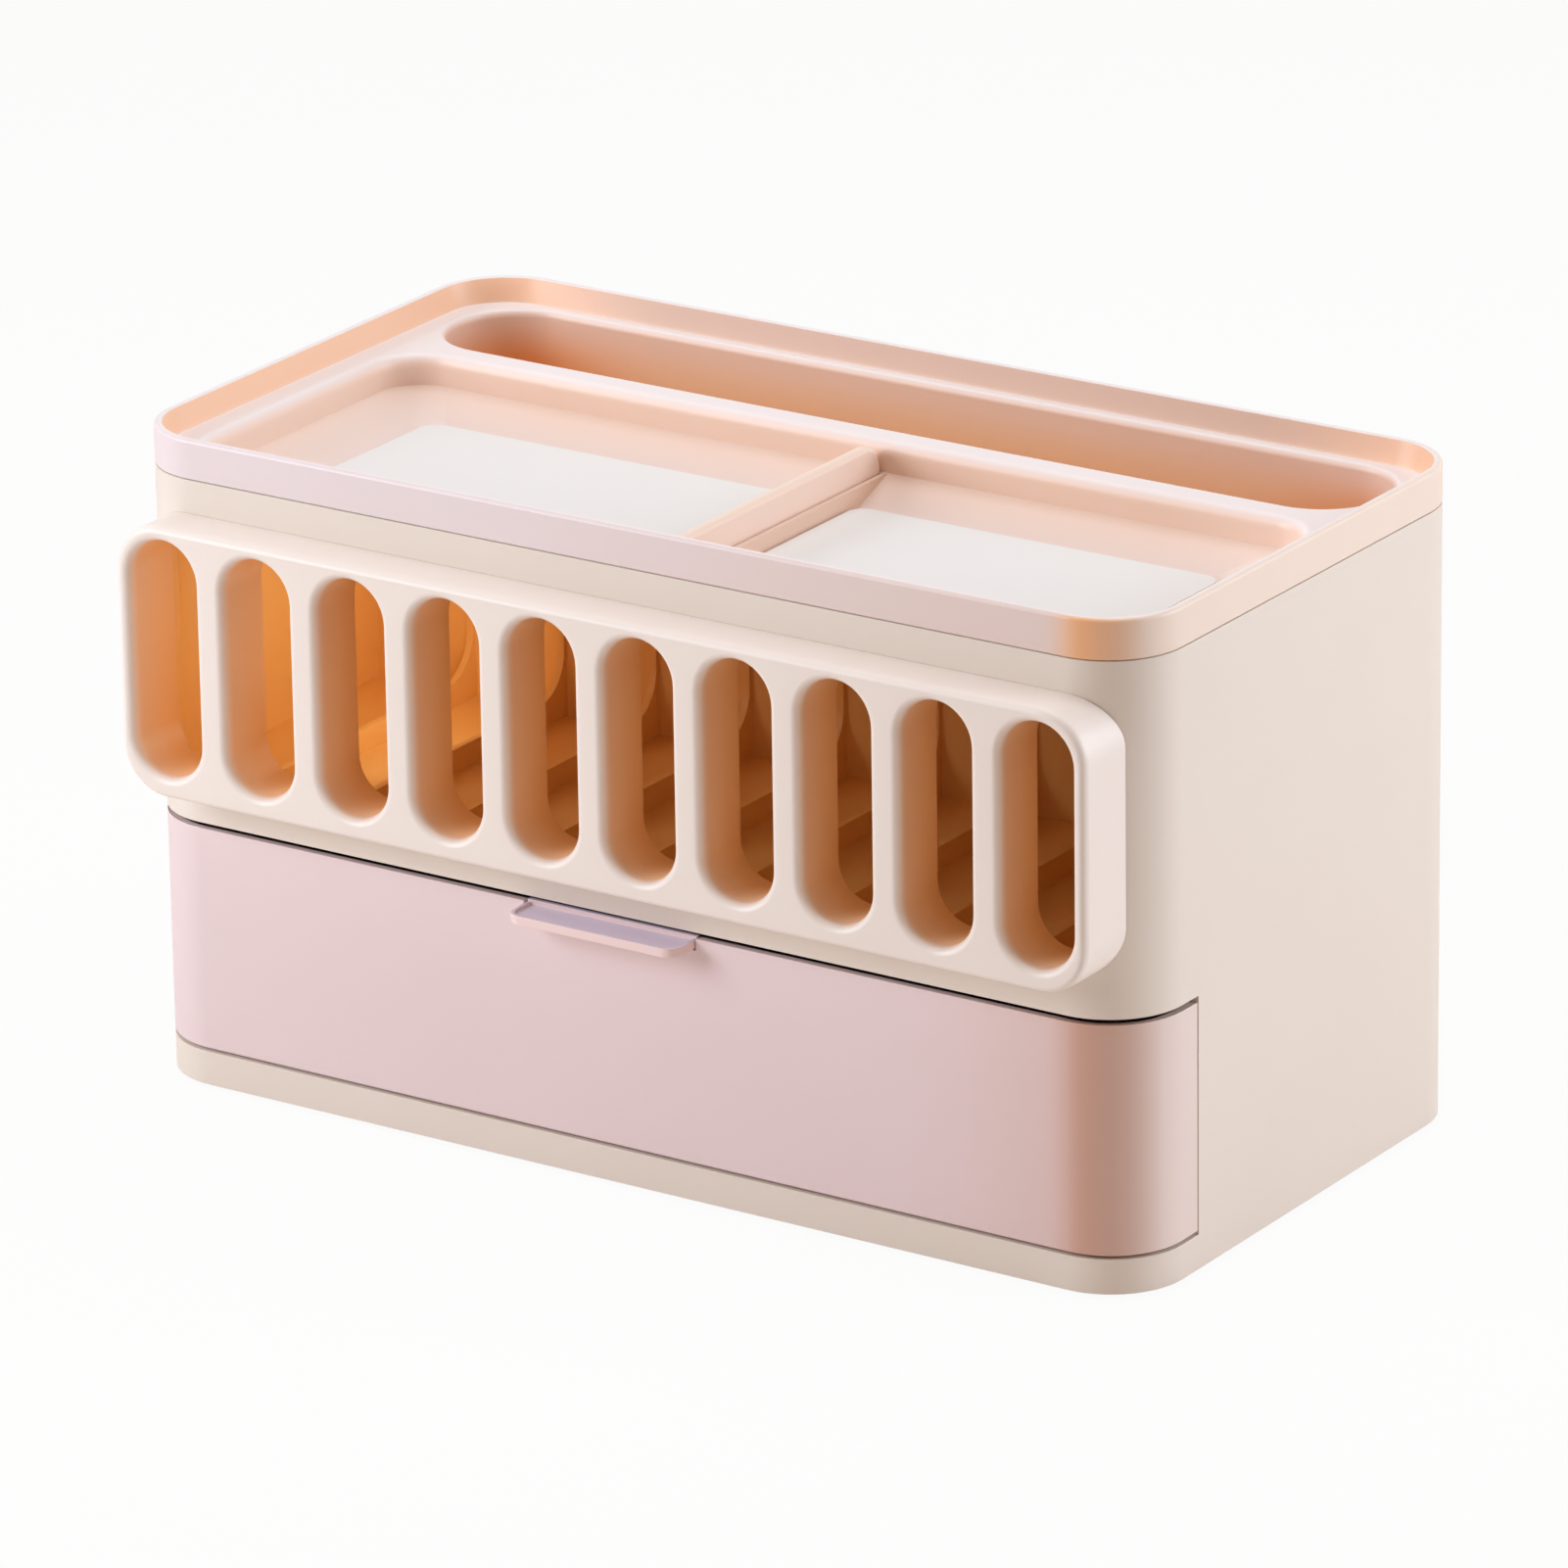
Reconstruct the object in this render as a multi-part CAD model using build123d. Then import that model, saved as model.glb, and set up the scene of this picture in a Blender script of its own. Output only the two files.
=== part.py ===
from build123d import *
import math
import os

# A desk storage box in moulded plastic, in millimetres. The front looks towards -Y and +Z is up.
# The origin is on the table, under the middle of the space that the whole box fills.
# Heights are above the table. Places along Y are taken from the middle of the housing, and
# every piece is moved once, when it is written, so that the origin is where it should be.

# Slots and lanes for the pens
lane_count = 10
lane_pitch = 23.95
slot_width = 17.0
slot_height = 52.5
slot_lip = 1.7

# Pen rack
rack_side = 3.3
rack_above = 3.2
rack_below = 4.6
rack_proud = 11.0
rack_corner = 11.0
rack_edge = 1.4
rack_flange = 1.3
rack_spigot = 3.6
rack_web = 1.7
rack_face = 3.4
rack_gap = 0.15

# Housing
rack_end = 5.425
depth = 132.4
corner_radius = 17.0
wall = 2.5
foot_proud = 1.0
base_strip = 7.6
bay_height = 52.1
wall_below_rack = 8.55
wall_above_rack = 7.45
seam_edge = 0.4
shelf_rise = 1.9
shelf_thickness = 2.0

# Lane insert
insert_gap = 0.3
insert_wall = 1.2
insert_top_gap = 0.6
insert_to_tub = 8.8
rib_thickness = 1.6
rib_height = 5.2
rib_sweep = 10.0
rib_proud = 1.0

# Top tray
rim_height = 8.7
rim_thickness = 1.7
rim_foot_thickness = 3.2
rim_edge = 0.5
deck_drop = 5.3
deck_thickness = 2.2
tub_lip = 1.2
dish_lip = 2.2
tray_wall = 1.8
skirt_depth = 5.0
skirt_gap = 0.3
tub_end_margin = 8.5
tub_rear_margin = 6.4
tub_width = 30.4
tub_end_flat = 1.2
tub_clearance = 5.6
bridge = 7.8
dish_end_margin = 10.6
dish_front_margin = 8.2
dish_corner = 10.0
dish_wall_height = 6.8
dish_slope_height = 4.6
dish_slope_side = 14.0
dish_slope_end = 11.6
dish_floor_corner = 4.5

# Divider and mats
divider_x = 6.5
divider_thickness = 3.0
divider_gap = 0.2
divider_corner = 5.6
divider_edge = 0.8
rail_thickness = 1.2
mat_thickness = 1.0
mat_margin = 1.0
mat_corner = 4.0

# Drawer
drawer_gap_low = 0.6
drawer_gap_high = 0.9
drawer_wrap = 23.3
drawer_end_gap = 0.4
drawer_edge = 0.4
front_thickness = 2.2
tub_side_gap = 1.1
tub_back_gap = 3.2
drawer_wall = 1.8
drawer_tub_drop = 4.3
drawer_floor_edge = 3.0
drawer_travel = 95.0
stop_lug_length = 6.0
stop_lug_overlap = 1.5
stop_lug_root = 2.0
stop_clearance = 0.3

# Pull tab
tab_x = -3.2
tab_width = 42.4
tab_reach = 7.5
tab_depth = 2.8
tab_plate_drop = 0.3
tab_floor = 1.4
tab_lip_rise = 2.0
tab_lip = 0.9
tab_gap = 0.25
tab_corner = 3.5
tab_sink = 1.0

# Bottom panel, slide rails, feet and screws
foot_height = 2.0
foot_radius = 6.5
foot_inset_x = 27.0
foot_inset_y = 22.0
panel_thickness = 2.0
panel_gap = 0.2
slide_rail_inset = 37.0
slide_rail_width = 4.0
slide_rail_end = 10.2
slide_rail_gap = 0.2
screw_inset = 12.0
screw_head_radius = 2.6
screw_head_height = 1.0
screw_radius = 1.3
screw_length = 5.2
screw_hole_gap = 0.35
screw_bite_gap = 0.05
screw_tip_gap = 0.3
boss_radius = 4.0
boss_web_length = 14.0

# Sizes across, from the lanes outwards
lane_span = lane_pitch * (lane_count - 1) + slot_width
rack_width = lane_span + 2 * rack_side
width = rack_width + 2 * rack_end
front_y = -depth / 2
rear_y = depth / 2
inner_corner = corner_radius - wall
body_shift = rack_proud / 2

# Heights, from the table up
panel_top = foot_height + panel_thickness
bay_low = foot_proud + base_strip
bay_high = bay_low + bay_height
drawer_low = bay_low + drawer_gap_low
drawer_high = bay_high - drawer_gap_high
shelf_low = bay_high + shelf_rise
shelf_top = shelf_low + shelf_thickness
lane_floor = shelf_top + insert_wall
rack_low = bay_high + wall_below_rack
slot_floor = rack_low + rack_below
slot_middle = slot_floor + slot_height / 2
slot_ceiling = slot_floor + slot_height
rack_high = slot_ceiling + rack_above
seam_height = rack_high + wall_above_rack
rim_top = seam_height + rim_height
deck_height = rim_top - deck_drop
dish_shoulder = deck_height - dish_wall_height
dish_floor = dish_shoulder - dish_slope_height
tub_floor = shelf_top + tub_clearance + tray_wall
insert_top = dish_floor - tray_wall - insert_top_gap

# Places in the top tray and the lane insert
tub_half_length = width / 2 - tub_end_margin
tub_rear = rear_y - tub_rear_margin
tub_front = tub_rear - tub_width
dish_half_length = width / 2 - dish_end_margin
dish_front = front_y + dish_front_margin
dish_rear = tub_front - bridge
dish_middle = (dish_front + dish_rear) / 2
lane_rear = tub_front - tray_wall - insert_to_tub - insert_wall


def upright_block(block_width, block_depth, radius, low, high, middle_y=0.0, middle_x=0.0):
    """A block from low to high with its upright corners rounded in plan."""
    plan = Pos(middle_x, middle_y, low) * RectangleRounded(block_width, block_depth, radius)
    return extrude(plan, amount=high - low)


def inside_block(inset, low, high):
    """The housing's plan, drawn in by inset, from low to high."""
    return upright_block(width - 2 * inset, depth - 2 * inset, corner_radius - inset, low, high)


def half_space(low_y, high_y, low=-5.0, high=200.0):
    """A wide slab between two places along Y, to cut or keep with."""
    slab = Box(2 * width, high_y - low_y, high - low)
    return Pos(0, (low_y + high_y) / 2, (low + high) / 2) * slab


def front_plan(face_width, low, high, radius):
    """A rounded rectangle drawn on the housing's front plane."""
    return Pos(0, (low + high) / 2) * RectangleRounded(face_width, high - low, radius)


def edges_at_height(shape, height):
    """Edges that lie flat at one height."""
    return [e for e in shape.edges() if abs(e.bounding_box().min.Z - height) < 1e-4
            and abs(e.bounding_box().max.Z - height) < 1e-4]


def inner_edges(face):
    """Edges of the openings in a face."""
    return [e for wire in face.inner_wires() for e in wire.edges()]


def lane_middle(number):
    """Place along X of a lane, counted from the left."""
    return (number - (lane_count - 1) / 2) * lane_pitch


def rack_window(gap):
    """The opening that the rack's spigot passes through."""
    margin = rack_flange - gap
    face = front_plan(rack_width - 2 * margin, rack_low + margin, rack_high - margin,
                      rack_corner - margin)
    cut_depth = rack_proud + corner_radius
    return extrude(Plane.XZ.offset(-front_y - corner_radius) * face, amount=cut_depth)


def rib_places():
    """Places along X of the ribs, midway between neighbouring lanes."""
    return [(lane_middle(n) + lane_middle(n + 1)) / 2 for n in range(lane_count - 1)]


def screw_places():
    """Middles of the four screws."""
    across = width / 2 - screw_inset
    along = depth / 2 - screw_inset
    return [(sx * across, sy * along) for sx in (-1, 1) for sy in (-1, 1)]


def drawer_bay():
    """The space that the drawer front fills, open at the front and round both corners."""
    cut = Box(2 * width, 2 * drawer_wrap, bay_high - bay_low)
    return Pos(0, front_y, (bay_low + bay_high) / 2) * cut


def make_housing_shell():
    """Outer wall with the drawer opening, the rack window and the screw bosses."""
    shell = inside_block(0, foot_proud, seam_height)
    shell = chamfer(edges_at_height(shell, seam_height), seam_edge)
    shell -= inside_block(wall, 0, rim_top)
    shell -= drawer_bay()
    shell -= rack_window(0)
    boss_height = bay_low - panel_top
    for x, y in screw_places():
        boss = Pos(x, y, panel_top) * extrude(Circle(boss_radius), amount=boss_height)
        turn = math.degrees(math.atan2(math.copysign(1, y), math.copysign(1, x)))
        web = Pos(boss_web_length / 2, 0, 0) * Box(boss_web_length, wall, boss_height)
        web = Pos(x, y, panel_top + boss_height / 2) * Rot(0, 0, turn) * web
        boss = (boss + web) & inside_block(wall / 2, panel_top, bay_low)
        bore = Pos(x, y, 0) * extrude(Circle(screw_radius + screw_bite_gap),
                                      amount=foot_height + screw_length + screw_tip_gap)
        shell = shell + boss - bore
    return shell


def make_mid_shelf():
    """Plate between the drawer and the pens, welded in all round."""
    return inside_block(wall, shelf_low, shelf_top)


def make_bottom_panel():
    """Plate inside the base strip with two slide rails, recessed screw holes."""
    panel = inside_block(wall + panel_gap, foot_height, panel_top)
    rail_top = drawer_low - slide_rail_gap
    rail_x = width / 2 - slide_rail_inset
    for side in (-1, 1):
        rail = Box(slide_rail_width, depth - 2 * slide_rail_end, rail_top - panel_top)
        panel += Pos(side * rail_x, 0, (panel_top + rail_top) / 2) * rail
    for x, y in screw_places():
        panel -= Pos(x, y, 0) * extrude(Circle(screw_radius + screw_hole_gap), amount=bay_low)
    return panel


def make_foot(side_x, side_y):
    """A round pad stuck under the bottom panel."""
    x = side_x * (width / 2 - foot_inset_x)
    y = side_y * (depth / 2 - foot_inset_y)
    return Pos(x, y, 0) * extrude(Circle(foot_radius), amount=foot_height)


def make_panel_screws():
    """Four self-tapping screws with flat heads."""
    screws = []
    for x, y in screw_places():
        head_low = foot_height - screw_head_height
        head = Pos(x, y, head_low) * extrude(Circle(screw_head_radius), amount=screw_head_height)
        shank = Pos(x, y, foot_height) * extrude(Circle(screw_radius), amount=screw_length)
        screws.append(head + shank)
    return Compound(screws)


def make_pen_rack():
    """Frame that stands out of the front wall, with ten lipped slots and short tunnels."""
    front_plane = Plane.XZ.offset(-front_y + rack_proud)
    body_depth = rack_proud + corner_radius
    outline = front_plan(rack_width, rack_low, rack_high, rack_corner)
    frame = extrude(front_plane * outline, amount=-body_depth)
    face_edges = [e for e in frame.edges() if abs(e.center().Y - (front_y - rack_proud)) < 1e-4]
    frame = chamfer(face_edges, rack_edge)
    frame -= inside_block(-rack_gap, rack_low - rack_edge, rack_high + rack_edge)
    spigot_rear = front_y + rack_spigot
    spigot = rack_window(-rack_gap) & half_space(front_y - rack_face, spigot_rear)
    rack = frame + spigot
    slots = []
    for number in range(lane_count):
        place = front_plane * Pos(lane_middle(number), slot_middle)
        slot = place * SlotOverall(slot_height, slot_width, rotation=90)
        slots.append(extrude(slot, amount=-body_depth))
    rack -= slots
    front_face = rack.faces().sort_by(Axis.Y)[0]
    rack = chamfer(inner_edges(front_face), slot_lip)
    core_width = lane_pitch - slot_width - 2 * rack_web
    core_height = slot_height - slot_width / 2
    core_depth = rack_proud + rack_spigot - rack_face
    core_plane = Plane.XZ.offset(-spigot_rear)
    for x in rib_places():
        core = Pos(x, slot_middle) * Rectangle(core_width, core_height)
        rack -= extrude(core_plane * core, amount=core_depth)
    return rack


def lane_lining():
    """Upright lining of the pen space, inside the housing's wall, open where the rack passes."""
    outer_inset = wall + insert_gap
    lining = inside_block(outer_inset, lane_floor, insert_top)
    lining -= inside_block(outer_inset + insert_wall, lane_floor, insert_top)
    return (lining & half_space(front_y, lane_rear)) - rack_window(insert_gap)


def make_lane_floor():
    """Floor of the pen space, with a sill under the rack."""
    keep = half_space(front_y, lane_rear)
    floor = inside_block(wall + insert_gap, shelf_top, lane_floor) & keep
    straight = Pos(0, 0, lane_floor) * Box(width - 2 * corner_radius, 2 * depth, 4 * insert_top)
    return floor + (lane_lining() & straight)


def make_lane_ribs():
    """Nine low ribs on the floor, between the lanes, from the rack to the swept ribs of the rear."""
    rib_turn = lane_rear - rib_proud - rib_sweep
    rib_front = front_y + insert_gap + max(rack_spigot, wall + insert_wall)
    rib = Box(rib_thickness, rib_turn - rib_front, rib_height)
    middle = (rib_turn + rib_front) / 2
    return Compound([Pos(x, middle, lane_floor + rib_height / 2) * rib for x in rib_places()])


def make_lane_back():
    """Rear wall of the pen space, with ribs that sweep down to meet the ribs of the floor."""
    wall_rear = lane_rear + insert_wall
    panel = inside_block(wall + insert_gap, shelf_top, insert_top) & half_space(lane_rear, wall_rear)
    rib_face = lane_rear - rib_proud
    rib_top = lane_floor + rib_height
    rib_turn = rib_face - rib_sweep
    wall_middle = (lane_rear + wall_rear) / 2
    corners = [(rib_turn, lane_floor), (rib_turn, rib_top), (rib_face, rib_top),
               (rib_face, insert_top), (wall_middle, insert_top), (wall_middle, lane_floor)]
    profile = make_face(Polyline(*corners, close=True))
    arc = Pos(rib_turn, rib_top + rib_sweep) * Circle(rib_sweep)
    square = Pos(rib_turn + rib_sweep / 2, rib_top + rib_sweep / 2) * Rectangle(rib_sweep, rib_sweep)
    profile = profile + (square - arc)
    for x in rib_places():
        panel += extrude(Plane.YZ.offset(x - rib_thickness / 2) * profile, amount=rib_thickness)
    return panel


def make_lane_side(side):
    """Side wall of the pen space, curved in at the front like the housing's corner."""
    end = Box(corner_radius, 2 * depth, 4 * insert_top)
    return lane_lining() & (Pos(side * (width - corner_radius) / 2, 0, lane_floor) * end)


def dish_block(grow, low, high):
    """The dish's straight upper part, grown outwards by grow."""
    length = 2 * (dish_half_length + grow)
    across = dish_rear - dish_front + 2 * grow
    return upright_block(length, across, dish_corner + grow, low, high, dish_middle)


def dish_slope(grow):
    """The dish's sloping lower part, from its shoulder down to its floor, grown by grow."""
    top = Pos(0, dish_middle, dish_shoulder) * RectangleRounded(
        2 * (dish_half_length + grow), dish_rear - dish_front + 2 * grow, dish_corner + grow)
    low = Pos(0, dish_middle, dish_floor - grow) * RectangleRounded(
        2 * (dish_half_length - dish_slope_side + grow),
        dish_rear - dish_front - 2 * dish_slope_end + 2 * grow, dish_floor_corner + grow)
    return loft([low, top], ruled=True)


def tub_block(grow, low, high):
    """The rear tub's plan with round ends, grown by grow."""
    return upright_block(2 * (tub_half_length + grow), tub_rear - tub_front + 2 * grow,
                         (tub_width - tub_end_flat) / 2 + grow, low, high, (tub_front + tub_rear) / 2)


def make_top_tray():
    """Tray with an upright rim, a deck, a deep rear tub and a sloping dish with divider rails."""
    skirt_inset = wall + skirt_gap
    pocket_inset = skirt_inset + tray_wall
    tray = inside_block(0, seam_height, rim_top)
    tray = chamfer(edges_at_height(tray, seam_height), seam_edge)
    tray = chamfer(edges_at_height(tray, rim_top), rim_edge)
    tray += inside_block(skirt_inset, seam_height - skirt_depth, seam_height + 1)
    tray -= inside_block(pocket_inset, seam_height - skirt_depth - 1, deck_height - deck_thickness)
    rim_foot = Pos(0, 0, deck_height) * RectangleRounded(
        width - 2 * rim_foot_thickness, depth - 2 * rim_foot_thickness,
        corner_radius - rim_foot_thickness)
    rim_draft = math.degrees(math.atan2(rim_foot_thickness - rim_thickness, deck_drop))
    tray -= extrude(rim_foot, amount=deck_drop, taper=-rim_draft)
    tray += dish_block(tray_wall, dish_shoulder, deck_height) + dish_slope(tray_wall)
    tray += tub_block(tray_wall, tub_floor - tray_wall, deck_height)
    tray -= dish_block(0, dish_shoulder, deck_height + 0.001) + dish_slope(0)
    tray -= tub_block(0, tub_floor, deck_height + 0.001)
    level = [f for f in tray.faces().filter_by(Plane.XY) if abs(f.center().Z - deck_height) < 1e-4]
    deck = max(level, key=lambda f: f.area)
    tub_rim = [e for e in inner_edges(deck) if e.bounding_box().max.Y > dish_rear + bridge / 2]
    tray = chamfer(tub_rim, tub_lip)
    lip_foot = Pos(0, dish_middle, deck_height - dish_lip) * RectangleRounded(
        2 * dish_half_length, dish_rear - dish_front, dish_corner)
    tray -= extrude(lip_foot, amount=dish_lip, taper=-45)
    rail_offset = divider_thickness / 2 + divider_gap + rail_thickness / 2
    for side in (-1, 1):
        strip = Pos(divider_x + side * rail_offset, dish_middle, 0)
        strip *= Box(rail_thickness, depth, 2 * rim_top)
        tray += strip & dish_slope(tray_wall / 2)
    return tray


def make_tray_divider():
    """Upright plate across the dish with rounded upper corners, its foot between the rails."""
    front = dish_front + divider_gap
    rear = dish_rear - divider_gap
    foot_front = dish_front + dish_slope_end + divider_gap
    foot_rear = dish_rear - dish_slope_end - divider_gap
    shoulder = dish_shoulder + divider_gap
    corners = [(foot_front, dish_floor), (front, shoulder), (front, deck_height),
               (rear, deck_height), (rear, shoulder), (foot_rear, dish_floor)]
    profile = make_face(Polyline(*corners, close=True))
    top_corners = [v for v in profile.vertices() if abs(v.Y - deck_height) < 1e-6]
    profile = fillet(top_corners, divider_corner)
    plate = extrude(Plane.YZ.offset(divider_x - divider_thickness / 2) * profile,
                    amount=divider_thickness)
    rim = [e for e in plate.edges()
           if e.bounding_box().min.Z > shoulder
           and abs(e.bounding_box().max.X - e.bounding_box().min.X) < 1e-4]
    return chamfer(rim, divider_edge)


def make_mat(side):
    """A thin mat on the dish floor, on one side of the divider."""
    outer = dish_half_length - dish_slope_side - mat_margin
    rail_outer = divider_thickness / 2 + divider_gap + rail_thickness + mat_margin / 2
    inner = side * divider_x + rail_outer
    low_y = dish_front + dish_slope_end + mat_margin
    high_y = dish_rear - dish_slope_end - mat_margin
    return upright_block(outer - inner, high_y - low_y, mat_corner, dish_floor,
                         dish_floor + mat_thickness, (low_y + high_y) / 2, side * (outer + inner) / 2)


def tab_notch(gap):
    """The notch in the drawer front's upper edge that the pull tab fills."""
    notch_width = tab_width + 2 * gap
    low = drawer_high - tab_depth - gap
    notch = Box(notch_width, 4 * front_thickness, bay_high - low)
    return Pos(tab_x, front_y, (low + bay_high) / 2) * notch


def make_drawer_front():
    """Band that closes the bay and wraps both front corners, notched for the pull tab."""
    end_y = front_y + drawer_wrap - drawer_end_gap
    band = inside_block(0, drawer_low, drawer_high)
    band = chamfer(edges_at_height(band, drawer_low) + edges_at_height(band, drawer_high), drawer_edge)
    band -= inside_block(front_thickness, drawer_low - 1, drawer_high + 1)
    band &= half_space(front_y - 1, end_y)
    return band - tab_notch(tab_gap)


def stop_lug_front():
    """Front of the stop lugs, so that they meet the shell's corner at the end of the travel."""
    lug_x = width / 2 - wall - tub_side_gap
    across = lug_x - (width / 2 - corner_radius)
    corner_y = front_y + corner_radius - math.sqrt(inner_corner ** 2 - across ** 2)
    return corner_y + drawer_travel + stop_clearance


def make_drawer_tub():
    """The drawer's open box, with stop lugs on its side walls."""
    outer_width = width - 2 * wall - 2 * tub_side_gap
    tub_front_y = front_y + front_thickness
    tub_rear_y = rear_y - wall - tub_back_gap
    outer_depth = tub_rear_y - tub_front_y
    middle_y = (tub_front_y + tub_rear_y) / 2
    outer_corner = corner_radius - wall - tub_side_gap
    tub_top = drawer_high - drawer_tub_drop
    tub = upright_block(outer_width, outer_depth, outer_corner, drawer_low, tub_top, middle_y)
    hollow = upright_block(outer_width - 2 * drawer_wall, outer_depth - 2 * drawer_wall,
                           outer_corner - drawer_wall, drawer_low + drawer_wall,
                           bay_high, middle_y)
    hollow = chamfer(edges_at_height(hollow, drawer_low + drawer_wall), drawer_floor_edge)
    tub -= hollow
    lug_top = bay_high + stop_lug_overlap
    lug_low = tub_top - stop_lug_root
    for side in (-1, 1):
        lug = Box(drawer_wall, stop_lug_length, lug_top - lug_low)
        tub += Pos(side * (outer_width - drawer_wall) / 2, stop_lug_front() + stop_lug_length / 2,
                   (lug_low + lug_top) / 2) * lug
    return tub


def tab_outline(inset, rear):
    """The pull tab's plan with round front corners, drawn in by inset, as far back as rear."""
    front = front_y - tab_reach + inset
    outline = Pos(tab_x, (front + rear) / 2) * Rectangle(tab_width - 2 * inset, rear - front)
    front_corners = [v for v in outline.vertices() if v.Y < (front + rear) / 2]
    return fillet(front_corners, tab_corner - inset)


def make_pull_tab():
    """Finger pull: a plate set back in the notch, and a channel in front with a lip round it."""
    tab_low = drawer_high - tab_depth
    plate_front = front_y + tab_sink
    plate_back = front_y + front_thickness
    plate_top = drawer_high - tab_plate_drop
    tab = extrude(Pos(0, 0, tab_low) * tab_outline(0, plate_back), amount=tab_lip_rise)
    plate = Box(tab_width, plate_back - plate_front, plate_top - tab_low)
    tab += Pos(tab_x, (plate_front + plate_back) / 2, (plate_top + tab_low) / 2) * plate
    channel = Pos(0, 0, tab_low + tab_floor) * tab_outline(tab_lip, plate_front)
    return tab - extrude(channel, amount=tab_depth)


def make_all():
    """Every piece by its node name, where it lies on the housing."""
    pieces = {
        "housing_shell": make_housing_shell(),
        "bottom_panel": make_bottom_panel(),
        "panel_screws": make_panel_screws(),
        "pen_rack": make_pen_rack(),
        "mid_shelf": make_mid_shelf(),
        "lane_floor": make_lane_floor(),
        "lane_ribs": make_lane_ribs(),
        "lane_back": make_lane_back(),
        "lane_side_left": make_lane_side(-1),
        "lane_side_right": make_lane_side(1),
        "top_tray": make_top_tray(),
        "tray_divider": make_tray_divider(),
        "mat_left": make_mat(-1),
        "mat_right": make_mat(1),
        "drawer_front": make_drawer_front(),
        "drawer_tub": make_drawer_tub(),
        "pull_tab": make_pull_tab(),
    }
    for end, side_y in (("front", -1), ("rear", 1)):
        for hand, side_x in (("left", -1), ("right", 1)):
            pieces["foot_" + end + "_" + hand] = make_foot(side_x, side_y)
    return pieces


os.makedirs("parts", exist_ok=True)
for node_name, piece in make_all().items():
    export_step(Pos(0, body_shift, 0) * piece, "parts/" + node_name + ".step")
    print(node_name, "volume", round(piece.volume))
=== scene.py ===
# %% [markdown]
# # A desk storage box in moulded plastic
# The box is an assembly of injection moulded parts: a cream housing, a frame with ten pen slots,
# a blush drawer, and a pink tray on top. Its measured CAD solids are loaded first and stay where
# they are. Every visible part then gets the soft edges and the finish that the mould gives it.

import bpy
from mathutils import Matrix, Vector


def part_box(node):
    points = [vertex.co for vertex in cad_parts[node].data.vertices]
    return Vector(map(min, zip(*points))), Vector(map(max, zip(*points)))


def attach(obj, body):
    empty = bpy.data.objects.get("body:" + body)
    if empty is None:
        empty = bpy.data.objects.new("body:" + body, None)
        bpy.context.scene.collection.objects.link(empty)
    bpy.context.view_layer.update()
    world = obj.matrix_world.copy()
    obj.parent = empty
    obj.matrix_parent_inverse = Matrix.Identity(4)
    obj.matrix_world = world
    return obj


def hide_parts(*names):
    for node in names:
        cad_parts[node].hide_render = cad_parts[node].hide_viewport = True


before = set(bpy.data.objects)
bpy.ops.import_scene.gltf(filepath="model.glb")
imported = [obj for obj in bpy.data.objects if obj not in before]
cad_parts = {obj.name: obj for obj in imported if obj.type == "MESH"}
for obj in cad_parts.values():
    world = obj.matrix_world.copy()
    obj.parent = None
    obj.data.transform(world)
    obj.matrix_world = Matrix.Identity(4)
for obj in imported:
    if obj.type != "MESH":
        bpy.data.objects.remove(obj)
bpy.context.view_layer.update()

# %% Working tools and units
import math

import bmesh
import bpy
from mathutils import Matrix, Vector

MM = 0.001
WHITE = (1.0, 1.0, 1.0, 1.0)
print("one millimetre is", MM, "scene units")

# %% [markdown]
# ## Sizes that shapes and colours follow
# Lips and colours that change inside a slot need the real places of the slots and walls. The
# places are read from the solids, and only sizes within a part are written here.

# %% Places on the box
rack_low, rack_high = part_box("pen_rack")
tray_low, tray_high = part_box("top_tray")
seam_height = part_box("housing_shell")[1].z

LANE_COUNT = 10
LANE_PITCH = 23.95 * MM
SLOT_WIDTH = 17.0 * MM
SLOT_HEIGHT = 52.5 * MM
RACK_BELOW = 4.6 * MM  # from the lower edge of the frame up to the slots
RACK_CORNER = 11.0 * MM
SLOT_LIP = 1.7 * MM
RACK_EDGE = 1.4 * MM
DECK_DROP = 5.3 * MM  # from the top of the rim down to the deck
BOX_CORNER = 17.0 * MM
TUB_FRONT = 34.9 * MM  # how far behind the origin the front wall of the tub stands
TUB_LIP = 1.2 * MM
DISH_LIP = 2.2 * MM
DISH_WALL = 6.8 * MM  # from the deck down to the shoulder, where the dish starts to slope
DISH_SLOPE = 4.6 * MM  # the height of that slope
middle_lane = (LANE_COUNT - 1) / 2
slot_middle = rack_low.z + RACK_BELOW + SLOT_HEIGHT / 2
slot_straight = (SLOT_HEIGHT - SLOT_WIDTH) / 2
deck_height = tray_high.z - DECK_DROP
dish_shoulder = deck_height - DISH_WALL
box_middle = (tray_low + tray_high) / 2
box_core = (tray_high.x - box_middle.x - BOX_CORNER, tray_high.y - box_middle.y - BOX_CORNER)
print("slot middle %.1f mm, deck %.1f mm" % (slot_middle / MM, deck_height / MM))

# %% [markdown]
# ## Rounding the edges
# No moulded edge is sharp: the cutter that made the mould leaves a small radius, and that radius
# is what catches the light. A copy of each solid is merged into clean flat faces, its edges are
# bevelled with a round profile, and the large flat faces are kept flat in the shading by
# weighted normals. Modelling each part again by hand would only risk leaving its measured size.

# %% A softened copy of a solid
FACET_TURN = math.radians(24)  # less than this is a facet of a round face, not an edge
FLAT_TURN = math.radians(0.6)
WELD = 0.0005 * MM
NEAR = 0.02 * MM


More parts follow.
